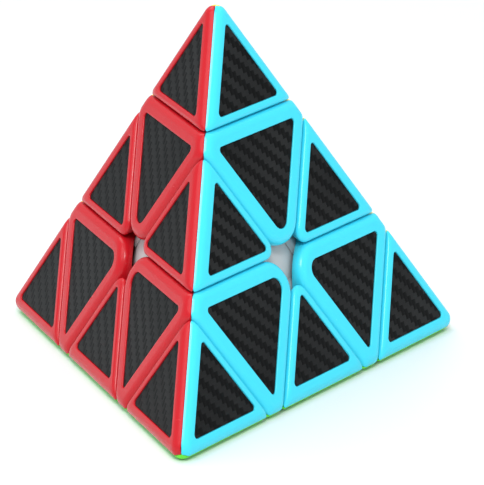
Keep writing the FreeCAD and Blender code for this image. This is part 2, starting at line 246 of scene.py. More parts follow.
@dataclass(frozen=True)
class SeamCorner:
    """Rounding of an outline's corner, which fades away with depth.

    A negative fade makes the corner rounder with depth.  Past the steady depth the radius
    stays as it is.
    """

    radius: float
    fade: float = 2.0 * MM
    steady: float = 3.4 * MM
    least: float = 0.12 * MM

    def at(self, depth: np.ndarray) -> np.ndarray:
        """Radius at a depth, changing evenly, and never quite nothing."""
        share = np.minimum(depth, self.steady) / self.fade
        return np.maximum(self.radius * (1 - share), self.least)


@dataclass(frozen=True)
class BallCorner(SeamCorner):
    """The pyramid's own vertex: a ball as round as the edges that meet there.

    Down to the depth where the parting planes leave the round edges, the radius is that of
    the ball's section.  Below it, the ball's section shrinks to the vertex axis.
    """

    least: float = 0.04 * MM

    def at(self, depth: np.ndarray) -> np.ndarray:
        """Radius of the ball's section at a depth."""
        ball = self.radius
        section = np.sqrt(np.maximum(ball**2 - np.maximum(ball - depth, 0) ** 2, 0))
        parting = ball * (1 - math.sin(HALF_DIHEDRAL))
        below = math.sqrt(8) * (ball - depth) - section
        return np.maximum(np.where(depth < parting, section, below), self.least)


@dataclass(frozen=True)
class Outline:
    """A convex polygon with rounded corners, whose sides follow the piece's walls inwards."""

    lines: tuple[Line, ...]
    corners: tuple[SeamCorner, ...]
    rounding: Rounding
    gap: float
    side_steps: int = 10
    arc_steps: int = 9

    def samples(self) -> tuple[np.ndarray, np.ndarray, np.ndarray]:
        """Perimeter samples.

        Returns:
            Three arrays: the corner that a sample's arc belongs to or that its side runs to,
            whether it lies on an arc, and its fraction along the arc or side.
        """
        corner, on_arc, fraction = [], [], []
        for index in range(len(self.lines)):
            corner += [index] * (self.arc_steps + self.side_steps)
            on_arc += [False] * self.side_steps + [True] * self.arc_steps
            fraction += list(np.arange(1, self.side_steps + 1) / (self.side_steps + 1))
            fraction += list(np.linspace(0, 1, self.arc_steps))
        return np.array(corner), np.array(on_arc), np.array(fraction)

    def wall_inset(self, line: Line, depth: np.ndarray) -> np.ndarray:
        """How far a wall lies inside its sharp line on the face, at a depth.

        The wall is an arc that starts flat on the face and meets the wall's own plane, or on
        a pyramid edge the plane in which two colours part.  Below that it is the plane.

        Args:
            line: The side.
            depth: Depths below the face.

        Returns:
            One inset for each depth.
        """
        angle = line.kind.value
        half_gap = self.gap / 2
        radius = line.bend
        if line.kind is SideKind.PARTING:
            run = radius / math.tan(DIHEDRAL / 2)
            plane = depth / math.tan(angle) + self.rounding.parting_gap
            bend = run - np.sqrt(np.maximum(radius**2 - np.maximum(radius - depth, 0) ** 2, 0))
            return np.maximum(plane, bend)
        run = radius / math.tan(angle / 2)
        plane = depth / math.tan(angle)
        bend = run - np.sqrt(np.maximum(radius**2 - (radius - depth) ** 2, 0))
        touch = run * math.sin(angle)
        return np.where(depth < touch, bend, plane) + half_gap

    def points(self, insets: np.ndarray, radii: np.ndarray) -> np.ndarray:
        """Perimeter points for given insets of every side.

        A corner's arc centre lies where both its sides, moved in by the radius, cross; the
        arc runs between the two side directions, and a side runs between two arcs.

        Args:
            insets: Inset of each side, last axis over sides, other axes over rings, samples.
            radii: Corner radii, last axis over corners, broadcast with insets.

        Returns:
            Points (x, y), with axes over rings, samples and coordinates.
        """
        normals = np.array([line.normal for line in self.lines])
        turns = np.radians([line.turn for line in self.lines])
        offsets = np.array([line.offset for line in self.lines]) - insets
        after = np.roll(np.arange(len(self.lines)), -1)
        first, second = normals, normals[after]
        cross = first[:, 0] * second[:, 1] - first[:, 1] * second[:, 0]
        radii = self.fitting_radii(offsets, radii)
        a, b = offsets - radii, offsets[..., after] - radii
        centre_x = (a * second[:, 1] - b * first[:, 1]) / cross
        centre_y = (b * first[:, 0] - a * second[:, 0]) / cross
        centres = np.stack([centre_x, centre_y], axis=-1)
        corner, on_arc, fraction = self.samples()
        swing = (turns[after] - turns) % (2 * math.pi)
        theta = turns[corner] + np.where(on_arc, fraction, 0) * swing[corner]
        before = np.roll(np.arange(len(self.lines)), 1)[corner]
        rows = np.arange(len(corner))

        def pick(values: np.ndarray, index: np.ndarray) -> np.ndarray:
            """Take each sample's own corner from an array over samples and corners."""
            return values[:, rows, index]

        radius_here = pick(radii, corner)[..., None]
        radius_back = pick(radii, before)[..., None]
        spoke = np.stack([np.cos(theta), np.sin(theta)], axis=-1)
        arc_point = pick(centres, corner) + radius_here * spoke
        side_start = pick(centres, before) + radius_back * normals[corner]
        side_end = pick(centres, corner) + radius_here * normals[corner]
        share = fraction[:, None]
        side_point = side_start * (1 - share) + side_end * share
        return np.where(on_arc[:, None], arc_point, side_point)

    def fitting_radii(self, offsets: np.ndarray, radii: np.ndarray) -> np.ndarray:
        """Shrink corner radii so that no two arcs take more of a side than it has.

        A side's length between its sharp corners is compared with the sum of radius times
        the tangent of half the turn at its two ends.

        Args:
            offsets: Distance of each side, last axis over sides.
            radii: Wanted corner radii, last axis over corners.

        Returns:
            Radii that fit, last axis over corners.
        """
        normals = np.array([line.normal for line in self.lines])
        turns = np.radians([line.turn for line in self.lines])
        after = np.roll(np.arange(len(self.lines)), -1)
        before = np.roll(np.arange(len(self.lines)), 1)
        first, second = normals, normals[after]
        cross = first[:, 0] * second[:, 1] - first[:, 1] * second[:, 0]
        x = (offsets * second[:, 1] - offsets[..., after] * first[:, 1]) / cross
        y = (offsets[..., after] * first[:, 0] - offsets * second[:, 0]) / cross
        step_x, step_y = x - x[..., before], y - y[..., before]
        length = np.maximum(step_y * normals[:, 0] - step_x * normals[:, 1], 0)
        tangent = np.tan(((turns[after] - turns) % (2 * math.pi)) / 2)
        need = radii * tangent + radii[..., before] * tangent[before]
        share = np.minimum(length / np.maximum(need, 1e-9), 1)
        return radii * np.minimum(share, share[..., after])

    def at(self, insets: np.ndarray, radii: np.ndarray) -> np.ndarray:
        """Perimeter points of rings whose insets don't change along the perimeter."""
        count = len(self.samples()[0])
        wide_insets = np.repeat(insets[:, None, :], count, axis=1)
        wide_radii = np.repeat(radii[:, None, :], count, axis=1)
        return self.points(wide_insets, wide_radii)

    def at_depth(self, depth: np.ndarray) -> np.ndarray:
        """Perimeter points on the walls, at a depth for each ring and sample."""
        insets = np.stack([self.wall_inset(line, depth) for line in self.lines], axis=-1)
        radii = np.stack([corner.at(depth) for corner in self.corners], axis=-1)
        return self.points(insets, radii)


def lifted(points: np.ndarray, depth: np.ndarray) -> np.ndarray:
    """Add depth as a third coordinate to face points."""
    wide = np.broadcast_to(depth, points.shape[:-1])
    return np.concatenate([points, wide[..., None]], axis=-1)


@dataclass
class Surface:
    """Vertices and faces gathered from closed grid surfaces."""

    vertices: list[np.ndarray] = field(default_factory=list)
    faces: list[list[int]] = field(default_factory=list)
    count: int = 0

    def add_rings(self, rings: np.ndarray, first: np.ndarray, last: np.ndarray) -> None:
        """Join rings of points into a closed skin with a pole at each end.

        Args:
            rings: Points, with axes over rings, samples and coordinates.
            first: The pole inside the first ring.
            last: The pole inside the last ring.
        """
        ring_count, sample_count = rings.shape[:2]
        body = rings.reshape(-1, 3)
        index = np.arange(ring_count * sample_count).reshape(ring_count, sample_count)
        index = index + self.count
        nxt = np.roll(index, -1, axis=1)
        quads = np.stack([index[:-1], nxt[:-1], nxt[1:], index[1:]], axis=-1).reshape(-1, 4)
        first_pole = self.count + len(body)
        last_pole = first_pole + 1
        fan_in = np.stack([np.full(sample_count, first_pole), nxt[0], index[0]], axis=-1)
        fan_out = np.stack([np.full(sample_count, last_pole), index[-1], nxt[-1]], axis=-1)
        self.faces += quads.tolist() + fan_in.tolist() + fan_out.tolist()
        self.vertices += [body, first[None], last[None]]
        self.count = last_pole + 1

    def add_tube_grid(self, grid: np.ndarray) -> None:
        """Join a grid that closes along its second axis, and cap its two ends."""
        first = grid[0].mean(axis=0)
        last = grid[-1].mean(axis=0)
        self.add_rings(grid, first, last)

    def array(self) -> np.ndarray:
        """All vertices."""
        return np.concatenate(self.vertices)


@dataclass(frozen=True)
class Place:
    """One of the twelve places of a shell: a face and a vertex of it."""

    side: Side
    corner: Corner
    face_distance: float

    @property
    def down(self) -> np.ndarray:
        """Unit direction down the face, away from the vertex."""
        normal = self.side.normal
        down = -(self.corner.direction - self.corner.direction.dot(normal) * normal)
        return down / np.linalg.norm(down)

    @property
    def across(self) -> np.ndarray:
        """Unit direction across the face."""
        return np.cross(self.side.normal, self.down)

    def carry(self, points: np.ndarray) -> np.ndarray:
        """Turn face coordinates (x, y, depth) into the puzzle's own frame."""
        height = self.side.normal * (self.face_distance - points[..., 2:3])
        return height + self.down * points[..., 0:1] + self.across * points[..., 1:2]


def make_object(name: str, faces: list[list[int]], world: np.ndarray,
                sharp: float) -> bpy.types.Object:
    """Make a mesh object whose faces point outwards.

    Args:
        name: Name of the piece.
        faces: Corners of each face.
        world: Vertices in the puzzle's frame.
        sharp: Angle above which an edge stays sharp, in degrees.

    Returns:
        The linked object.
    """
    mesh = bpy.data.meshes.new(name)
    if signed_volume(world, faces) < 0:
        faces = [face[::-1] for face in faces]
    mesh.from_pydata(world.tolist(), [], faces)
    mesh.polygons.foreach_set("use_smooth", np.ones(len(mesh.polygons), bool))
    mesh.set_sharp_from_angle(angle=math.radians(sharp))
    mesh.update()
    piece = bpy.data.objects.new(name, mesh)
    bpy.context.scene.collection.objects.link(piece)
    return piece


def add_face_map(mesh: bpy.types.Mesh, place: "Place", world: np.ndarray) -> None:
    """Give a mesh a UV map in millimetres, the same way up for a whole face.

    Args:
        mesh: The piece's mesh.
        place: Where the piece lies.
        world: Vertices in the puzzle's frame.
    """
    first = Place(place.side, place.side.corners[0], place.face_distance)
    flat = np.stack([world @ first.down, world @ first.across], axis=-1)
    layer = mesh.uv_layers.new(name="face_mm")
    corners = np.empty(len(mesh.loops), np.int32)
    mesh.loops.foreach_get("vertex_index", corners)
    layer.data.foreach_set("uv", (flat[corners] / MM).astype(np.float32).ravel())


def signed_volume(points: np.ndarray, faces: list[list[int]]) -> float:
    """Volume inside a skin: the sum over its triangles of a triple product over six.

    Args:
        points: Vertices.
        faces: Corners of each face, three or four.

    Returns:
        The volume, negative where the faces point inwards.
    """
    triangles = []
    for size in (3, 4):
        rows = np.array([face for face in faces if len(face) == size])
        if len(rows):
            triangles += [rows[:, [0, k, k + 1]] for k in range(1, size - 1)]
    corners = points[np.concatenate(triangles)]
    triple = np.einsum("ij,ij->i", corners[:, 0], np.cross(corners[:, 1], corners[:, 2]))
    return float(triple.sum() / 6)


@dataclass
class Shell:
    """A coloured shell over one facelet, with a recess for its sticker."""

    pyramid: Pyramid
    rounding: Rounding = field(default_factory=Rounding)
    recess_depth: float = 0.5 * MM
    bend_depth: float = 2.0 * MM
    recess_play: float = 0.08 * MM
    sticker_corner: float = 0.7 * MM
    sticker_top: float = 0.26 * MM
    sticker_edge: float = 0.12 * MM
    seam_frame: float = 2.3 * MM
    rim_frame: float = 4.1 * MM
    thin_corner: float = 0.9 * MM

    def outline(self) -> Outline:
        """The facelet's outline on the face."""
        raise NotImplementedError

    def sticker_radii(self) -> list[float]:
        """Corner radii of the sticker, in the outline's order."""
        raise NotImplementedError

    def wall_end(self, outline: Outline) -> np.ndarray:
        """Depth at which the wall stops, for each perimeter sample."""
        raise NotImplementedError

    def limited(self, outline: Outline, limit: np.ndarray, sphere: float,
                stalk: float) -> np.ndarray:
        """Cut wall depths short at a sphere about the core and a bar on the vertex axis.

        The depth is found by halving an interval, for all samples together.

        Args:
            outline: The facelet's outline.
            limit: Largest depth for each sample.
            sphere: Radius of the sphere.
            stalk: Radius of the bar.

        Returns:
            One depth for each sample.
        """
        low = np.zeros_like(limit)
        high = limit.copy()
        for _ in range(HALVINGS):
            middle = (low + high) / 2
            flat = outline.at_depth(middle[None])[0]
            height = self.pyramid.face_distance - middle
            out = np.hypot(flat[:, 0], flat[:, 1])
            beyond = np.hypot(out, height) > sphere
            aside = self.pyramid.from_axis(lifted(flat, middle)) > stalk
            outside = beyond & aside
            low = np.where(outside, middle, low)
            high = np.where(outside, high, middle)
        return low

    def bottom_point(self) -> np.ndarray:
        """The pole that closes the shell's inner side, in face coordinates."""
        raise NotImplementedError

    def frame_insets(self, outline: Outline, extra: float) -> np.ndarray:
        """Inset of the recess on each side, less extra."""
        return np.array([line.frame for line in outline.lines]) - extra

    def recess_rings(self, outline: Outline) -> np.ndarray:
        """Rings of the recess: its floor, its wall, and the round lip up to the frame.

        Args:
            outline: The facelet's outline.

        Returns:
            Points, with axes over rings, samples and coordinates.
        """
        lip = self.rounding.lip
        radii = np.array(self.sticker_radii())
        inside = self.frame_insets(outline, self.recess_play)
        steps = np.linspace(0, math.pi / 2, 5)
        floor_insets = np.array([inside + 0.5 * lip, inside, inside, inside])
        floor_depths = np.array([1, 1, 0.96, 0.5]) * self.recess_depth
        lip_insets = inside - (lip * (1 - np.cos(steps)))[:, None]
        lip_depths = lip * (1 - np.sin(steps))
        insets = np.concatenate([floor_insets, lip_insets])
        depths = np.concatenate([floor_depths, lip_depths])
        grown = self.recess_play + np.append(np.zeros(4), lip * (1 - np.cos(steps)))
        recess = outline.at(insets, radii + grown[:, None])
        return lifted(recess, depths[:, None])

    def frame_rings(self, outline: Outline, inner: np.ndarray) -> np.ndarray:
        """Rings over the frame, which is crowned by half a sine.

        Args:
            outline: The facelet's outline.
            inner: The recess's last ring.

        Returns:
            Points, with axes over rings, samples and coordinates.
        """
        edge = outline.at_depth(np.zeros((1, inner.shape[0])))[0]
        outer = lifted(edge, np.zeros(1))
        share = np.array([0.2, 0.45, 0.7, 0.9])[:, None, None]
        frame = inner * (1 - share) + outer * share
        frame[..., 2] -= self.rounding.crown * np.sin(math.pi * share[..., 0])
        frame[..., 2] = np.maximum(frame[..., 2], 0)
        return frame

    def wall_rings(self, outline: Outline) -> np.ndarray:
        """Rings round the bend and down the wall, closest where the surface turns.

        Args:
            outline: The facelet's outline.

        Returns:
            Points, with axes over rings, samples and coordinates.
        """
        turn = np.linspace(0, math.pi / 2, 13)
        bend = self.bend_depth * (1 - np.cos(turn))
        parting = self.rounding.pyramid_edge * (1 - math.sin(HALF_DIHEDRAL))
        bend = np.sort(np.append(bend, [parting * 0.98, parting * 1.02]))
        end = self.wall_end(outline)
        depth = np.repeat(bend[:, None], len(end), axis=1)
        fall = np.linspace(0, 1, 9)[1:, None]
        down = depth[-1] + (np.maximum(end, depth[-1] + 0.05 * MM) - depth[-1]) * fall
        depth = np.concatenate([depth, down])
        return lifted(outline.at_depth(depth), depth)

    def ring_rows(self, outline: Outline) -> np.ndarray:
        """All rings of the shell, from the recess floor out over the frame and down the wall.

        Args:
            outline: The facelet's outline.

        Returns:
            Points, with axes over rings, samples and coordinates.
        """
        recess = self.recess_rings(outline)
        frame = self.frame_rings(outline, recess[-1])
        wall = self.wall_rings(outline)
        close = np.array([0.05, 0.25, 0.5, 0.75])[:, None, None]
        under = wall[-1] * (1 - close) + self.bottom_point() * close
        under[..., 2] = np.minimum(under[..., 2], self.floor_depth(under))
        return np.concatenate([recess, frame, wall, under])

    def floor_depth(self, under: np.ndarray) -> np.ndarray:
        """Greatest depth that the shell's underside may have; no limit unless it has one."""
        return under[..., 2]

    def surface(self) -> Surface:
        """The whole shell as one closed skin."""
        outline = self.outline()
        rings = self.ring_rows(outline)
        pole = rings[0].mean(axis=0)
        skin = Surface()
        skin.add_rings(rings, pole, self.bottom_point())
        self.add_mechanism(skin)
        return skin

    def add_mechanism(self, skin: Surface) -> None:
        """Add the part of the mechanism that is moulded with the shell, if it has one."""

    def sticker_surface(self) -> Surface:
        """The sticker: a plate with a softly rounded edge, in its recess."""
        outline = self.outline()
        radii = np.array(self.sticker_radii())
        inside = self.frame_insets(outline, 0)
        soft = self.sticker_edge
        steps = np.linspace(math.pi / 2, 0, 6)
        top_insets = inside + (soft * (1 - np.cos(steps)))[:, None]
        top_depths = self.sticker_top + soft * (1 - np.sin(steps))
        low_depths = np.array([self.recess_depth - 0.02 * MM])
        insets = np.concatenate([top_insets, [inside]])
        depths = np.concatenate([top_depths, low_depths])
        shrunk = np.append(soft * (1 - np.cos(steps)), 0)
        rings = outline.at(insets, np.maximum(radii - shrunk[:, None], 0.1 * MM))
        rows = lifted(rings, depths[:, None])
        middle = rows[0].mean(axis=0)
        share = np.array([0.25, 0.5, 0.75, 0.93])[:, None, None]
        field_rows = middle * (1 - share) + rows[0] * share
        under = middle.copy()
        under[2] = self.recess_depth - 0.02 * MM
        skin = Surface()
        skin.add_rings(np.concatenate([field_rows, rows]), middle, under)
        return skin


@dataclass
class TipShell(Shell):
    """A third of a tip: one colour, with a third of the snap stem below it."""

    stem_inner: float = 3.8 * MM
    stem_outer: float = 4.85 * MM
    stem_bottom: float = 29.3 * MM
    snap_height: float = 31.9 * MM
    bead_ring: float = 4.6 * MM
    bead_radius: float = 0.7 * MM

    def outline(self) -> Outline:
        """A triangle between two pyramid edges and the tip's seam."""
        p = self.pyramid
        far = -p.vertex_x / 2
        seam, ridge = self.rounding.acute_seam, self.rounding.pyramid_edge
        lines = (
            Line(0, p.down(p.tip_fraction), SideKind.SEAM_IN, self.seam_frame, seam),
            Line(120, far, SideKind.PARTING, self.rim_frame, ridge),
            Line(240, far, SideKind.PARTING, self.rim_frame, ridge),
        )
        thin = SeamCorner(self.thin_corner)
        return Outline(lines, (thin, BallCorner(ridge), thin), self.rounding, p.gap)

    def sticker_radii(self) -> list[float]:
        """The same small radius at each corner."""
        return [self.sticker_corner] * 3

    def wall_end(self, outline: Outline) -> np.ndarray:
        """The walls run almost to the tip's axis."""
        return np.full(len(outline.samples()[0]), 0.93 * self.bottom_point()[2])

    def bottom_point(self) -> np.ndarray:
        """The point where the parting planes meet the cut, on the tip's axis."""
        p = self.pyramid
        return p.axis_to_face(np.array(p.tip_cut + p.gap / 2), np.array(0.0), np.array(0.0))

    def add_mechanism(self, skin: Surface) -> None:
        """Add a third of the snap stem: its profile turned about the tip's axis.

        The profile runs up the outside, where a round bead swells it, and down the bore.

        Args:
            skin: The shell's surface.
        """
        p = self.pyramid
        top = p.tip_cut + 1.5 * MM
        up = np.linspace(self.stem_bottom, top, 41)
        swell = np.sqrt(np.maximum(self.bead_radius**2 - (up - self.snap_height) ** 2, 0))
        outside = np.maximum(self.stem_outer, np.where(swell > 0, self.bead_ring + swell, 0))
        along = np.concatenate([up, up[::-8]])
        out = np.concatenate([outside, np.full(len(up[::-8]), self.stem_inner)])
        turn = np.radians(np.linspace(-60, 60, 17))
        skin.add_tube_grid(p.axis_to_face(along[None], out[None], turn[:, None]))


@dataclass
class AxialShell(Shell):
    """The coloured cap of an axial piece for one face."""

    seam_frame: float = 3.3 * MM
    hole_corner: float = 4.6 * MM
    hole_widening: float = -4.34 * MM
    rim_corner: float = 2.6 * MM
    sticker_hole_corner: float = 2.2 * MM
    side_steps: int = 24
    shallow_wall: float = 8.4 * MM
    steep_wall: float = 9.0 * MM
    bottom: tuple[float, float, float] = (-17.5 * MM, 0.0, 4.0 * MM)

    def outline(self) -> Outline:
        """A hexagon: three long seams, two short pyramid edges, and the face-centre side.

        Where a short side lies between two long ones, its offset is the distance of their
        crossing less the corner radius, so that both its corners run into one arc.
        """
        p = self.pyramid
        seam = -p.down(1 - p.tip_fraction - p.strip_fraction)
        far = -p.vertex_x / 2
        tip = -p.down(p.tip_fraction)
        frame = self.seam_frame
        hole = min(-seam, 2 * seam - self.hole_corner)
        hole_frame = hole - 2 * (seam - frame) + self.sticker_hole_corner
        crossing = seam + tip - 2 * frame
        rim = far - crossing + self.sticker_corner
        seam_bend, ridge = self.rounding.blunt_seam, self.rounding.pyramid_edge
        lines = (
            Line(0, hole, SideKind.SEAM_IN, hole_frame, seam_bend),
            Line(60, seam, SideKind.SEAM_OUT, frame, seam_bend),
            Line(120, far, SideKind.PARTING, rim, ridge),
            Line(180, tip, SideKind.SEAM_OUT, frame, seam_bend),
            Line(240, far, SideKind.PARTING, rim, ridge),
            Line(300, seam, SideKind.SEAM_OUT, frame, seam_bend),
        )
        hole_side = SeamCorner(self.hole_corner, self.hole_widening)
        rim_side = SeamCorner(self.rim_corner)
        corners = (hole_side, rim_side, rim_side, rim_side, rim_side, hole_side)
        return Outline(lines, corners, self.rounding, p.gap, self.side_steps)

    def sticker_radii(self) -> list[float]:
        """A larger radius beside the face centre."""
        hole, plain = self.sticker_hole_corner, self.sticker_corner
        return [hole, plain, plain, plain, plain, hole]

    def wall_end(self, outline: Outline) -> np.ndarray:
        """The walls run to the cap's inner sphere, and near the axis to its stalk."""
        corner, on_arc, fraction = outline.samples()
        shallow, steep = self.shallow_wall, self.steep_wall
        start = np.array([steep, steep, steep, shallow, shallow, steep])
        end = np.array([steep, steep, shallow, shallow, steep, steep])
        share = np.where(on_arc, 1.0, fraction)
        limit = start[corner] * (1 - share) + end[corner] * share
        return self.limited(outline, limit, self.pyramid.cap_inner, self.pyramid.stalk)

    def floor_depth(self, under: np.ndarray) -> np.ndarray:
        """The cap's underside stays above the feet."""
        return self.pyramid.cap_depth(under[..., 0], under[..., 1])

    def bottom_point(self) -> np.ndarray:
        """A point inside the cap, near the middle of its third."""
        return np.array(self.bottom)


@dataclass
class EdgeShell(Shell):
    """Half of an edge piece, whose walls run down into the foot that runs under the axial caps.
    """

    seam_frame: float = 2.35 * MM
    rim_frame: float = 4.55 * MM
    hole_corner: float = 2.2 * MM
    hole_fade: float = 40 * MM
    wall_depth: float = 11.2 * MM
    foot_sink: float = 0.3 * MM
    bottom: tuple[float, float, float] = (12.5 * MM, 0.0, 7.0 * MM)

    def outline(self) -> Outline:
        """A triangle between a pyramid edge and two seams."""
        p = self.pyramid
        share = p.tip_fraction + p.strip_fraction
        height = (1 - 2 * share) * p.altitude
        top = p.base_x - height
        seam, ridge = self.rounding.acute_seam, self.rounding.pyramid_edge
        lines = (
            Line(0, p.base_x, SideKind.PARTING, self.rim_frame, ridge),
            Line(120, -top / 2, SideKind.SEAM_IN, self.seam_frame, seam),
            Line(240, -top / 2, SideKind.SEAM_IN, self.seam_frame, seam),
        )
        thin = SeamCorner(self.thin_corner)
        hole_side = SeamCorner(self.hole_corner, self.hole_fade)
        return Outline(lines, (thin, hole_side, thin), self.rounding, p.gap)

    def sticker_radii(self) -> list[float]:
        """The same small radius at each corner."""
        return [self.sticker_corner] * 3

    def wall_end(self, outline: Outline) -> np.ndarray:
        """The walls run down into the foot."""
        limit = np.full(len(outline.samples()[0]), self.wall_depth)
        sphere = self.pyramid.foot_outer - self.foot_sink
        return self.limited(outline, limit, sphere, 0)

    def bottom_point(self) -> np.ndarray:
        """A point inside the half, above its foot."""
        return np.array(self.bottom)


@dataclass
class EdgeFoot:
    """The foot of an edge piece: a patch of a spherical shell under the axial caps."""

    pyramid: Pyramid
    ends: tuple[Corner, Corner]
    plane: float = 5.45 * MM
    window: float = 4.6 * MM
    taper: float = 0.10
    thin: float = 0.08 * MM
    turn_steps: int = 45
    along_steps: int = 25

    def surface(self) -> Surface:
        """The foot as a grid of closed rings, one for each turn towards a face.

        A direction turned by b from the middle of the edge towards a face, and by a along
        the edge, is cos a (cos b M + sin b T) + sin a E.  The foot ends where that direction
        comes within a plane's distance of either layer's cut: A cos a - B sin a = plane / r,
        with A and B the parts of a vertex direction along the middle and along the edge.
        Towards its two ends in b the foot thins out, so that it runs softly into the ball.
        """
        first, second = (corner.direction for corner in self.ends)
        middle = (first + second) / np.linalg.norm(first + second)
        along = (first - second) / np.linalg.norm(first - second)
        toward = np.cross(along, middle)
        inner, outer = self.pyramid.foot_inner, self.pyramid.foot_outer
        reach = math.pi / 2 - HALF_DIHEDRAL - math.asin(self.window / outer)
        swing = np.linspace(-math.pi / 2, math.pi / 2, self.turn_steps)
        b = np.sin(swing)[:, None] * reach
        part_a = np.cos(b) * first.dot(middle)
        part_b = first.dot(along)
        size = np.hypot(part_a, part_b)
        limit = np.arccos(self.plane / inner / size) - np.arctan2(part_b, part_a)
        share = np.linspace(-1, 1, self.along_steps)[None]
        a = np.concatenate([limit * share, limit * share[:, ::-1]], axis=1)
        grow = np.clip((reach - np.abs(b)) / self.taper, 0, 1)
        thick = self.thin + (outer - inner - self.thin) * grow**2 * (3 - 2 * grow)
        outside = inner + thick * np.ones(self.along_steps)
        inside = np.full(outside.shape, inner)
        radius = np.concatenate([outside, inside], axis=1)
        level = np.cos(a) * np.cos(b)
        side = np.cos(a) * np.sin(b)
        points = level[..., None] * middle + side[..., None] * toward
        points = points + np.sin(a)[..., None] * along
        skin = Surface()
        skin.add_tube_grid(points * radius[..., None])
        return skin


@dataclass(frozen=True)
class Plastic:
    """A smooth moulded plastic of one colour."""

    name: str
    colour: tuple[float, float, float]
    roughness: float = 0.23
    grain: float = 0.006

    def material(self) -> bpy.types.Material:
        """Glossy plastic with a faint moulded unevenness in gloss and surface."""
        material, nodes, links, shader = new_material(self.name)
        place = nodes.new("ShaderNodeTexCoord")
        shader.inputs["IOR"].default_value = 1.49
        shader.inputs["Specular IOR Level"].default_value = 0.30
        tone = noise(nodes, links, place.outputs["Object"], 55.0, 3.0)
        mix = ramp(nodes, links, tone, shade(self.colour, 0.965), shade(self.colour, 1.02))
        links.new(mix, shader.inputs["Base Color"])
        fine = noise(nodes, links, place.outputs["Object"], 420.0, 4.0)
        vary_roughness(nodes, links, fine, self.roughness - 0.05, self.roughness + 0.08)
        add_bump(nodes, links, fine, 0.15, self.grain * MM)
        return material


@dataclass(frozen=True)
class CarbonFilm:
    """Black film with the twill weave of carbon cloth, under a clear coat."""

    name: str
    tow: float = 1.1
    dark: float = 0.001
    light: float = 0.020
    patch_scale: float = 45.0

    def material(self) -> bpy.types.Material:
        """Twill: each tow passes over two and under two, one step along in each row."""
        material, nodes, links, shader = new_material(self.name)
        shader.inputs["IOR"].default_value = 1.5
        shader.inputs["Specular IOR Level"].default_value = 0.06
        shader.inputs["Coat Weight"].default_value = 0.04
        shader.inputs["Coat Roughness"].default_value = 0.12
        uv = nodes.new("ShaderNodeUVMap")
        uv.uv_map = "face_mm"
        split = nodes.new("ShaderNodeSeparateXYZ")
        scale = nodes.new("ShaderNodeMapping")
        scale.inputs["Scale"].default_value = (1 / self.tow, 1 / self.tow, 1)
        links.new(uv.outputs["UV"], scale.inputs["Vector"])
        links.new(scale.outputs["Vector"], split.inputs["Vector"])

        def calc(operation: str, a: object, b: object = None) -> bpy.types.NodeSocket:
            """One arithmetic node on sockets or numbers."""
            node = nodes.new("ShaderNodeMath")
            node.operation = operation
            for socket, value in zip(node.inputs, (a, b)):
                if isinstance(value, bpy.types.NodeSocket):
                    links.new(value, socket)
                elif value is not None:
                    socket.default_value = value
            return node.outputs["Value"]

        u, v = split.outputs["X"], split.outputs["Y"]
        step = calc("SUBTRACT", calc("FLOOR", u), calc("FLOOR", v))
        phase = calc("FLOORED_MODULO", step, 4.0)
        over = calc("LESS_THAN", phase, 2.0)
        along_u = calc("SINE", calc("MULTIPLY", calc("FRACT", u), math.pi))
        along_v = calc("SINE", calc("MULTIPLY", calc("FRACT", v), math.pi))
        under = calc("SUBTRACT", 1.0, over)
        height = calc("ADD", calc("MULTIPLY", along_u, over), calc("MULTIPLY", along_v, under))
        warp = streak(nodes, links, uv.outputs["UV"], (9.0, 0.6, 1.0))
        weft = streak(nodes, links, uv.outputs["UV"], (0.6, 9.0, 1.0))
        fibres = calc("ADD", calc("MULTIPLY", warp, over), calc("MULTIPLY", weft, under))
        blend = calc("ADD", calc("MULTIPLY", over, 0.72), calc("MULTIPLY", fibres, 0.5))
        place = nodes.new("ShaderNodeTexCoord")
        patch = noise(nodes, links, place.outputs["Object"], self.patch_scale, 2.0)
        sheen = calc("ADD", calc("MULTIPLY", patch, 1.6), 0.1)
        tone = calc("MULTIPLY", calc("SUBTRACT", blend, 0.14), sheen)
        colour = ramp(nodes, links, tone, (self.dark,) * 3, (self.light,) * 3)
        links.new(colour, shader.inputs["Base Color"])
        vary_roughness(nodes, links, fibres, 0.30, 0.48)
        relief = calc("ADD", height, calc("MULTIPLY", fibres, 0.25))
        add_bump(nodes, links, relief, 0.35, 0.05 * MM)
        return material


@dataclass(frozen=True)
class Steel:
    """Bright steel of the axle screws, springs and washers."""

    name: str
    colour: tuple[float, float, float] = (0.60, 0.60, 0.62)
    roughness: float = 0.28

    def material(self) -> bpy.types.Material:
        """Metal whose gloss varies with fine turning marks."""
        material, nodes, links, shader = new_material(self.name)
        shader.inputs["Metallic"].default_value = 1.0
        place = nodes.new("ShaderNodeTexCoord")
        marks = noise(nodes, links, place.outputs["Object"], 900.0, 3.0)
        links.new(
            ramp(nodes, links, marks, shade(self.colour, 0.9), shade(self.colour, 1.05)),
            shader.inputs["Base Color"],
        )
        vary_roughness(nodes, links, marks, self.roughness - 0.08, self.roughness + 0.12)
        return material


def new_material(
    name: str,
) -> tuple[bpy.types.Material, bpy.types.Nodes, bpy.types.NodeLinks, bpy.types.Node]:
    """A node material, with its nodes, its links and its main shader."""
    material = bpy.data.materials.new(name)
    material.use_nodes = True
    nodes = material.node_tree.nodes
    return material, nodes, material.node_tree.links, nodes["Principled BSDF"]


def shade(colour: tuple[float, float, float], factor: float) -> tuple[float, float, float]:
    """A colour made lighter or darker."""
    return tuple(min(channel * factor, 1.0) for channel in colour)


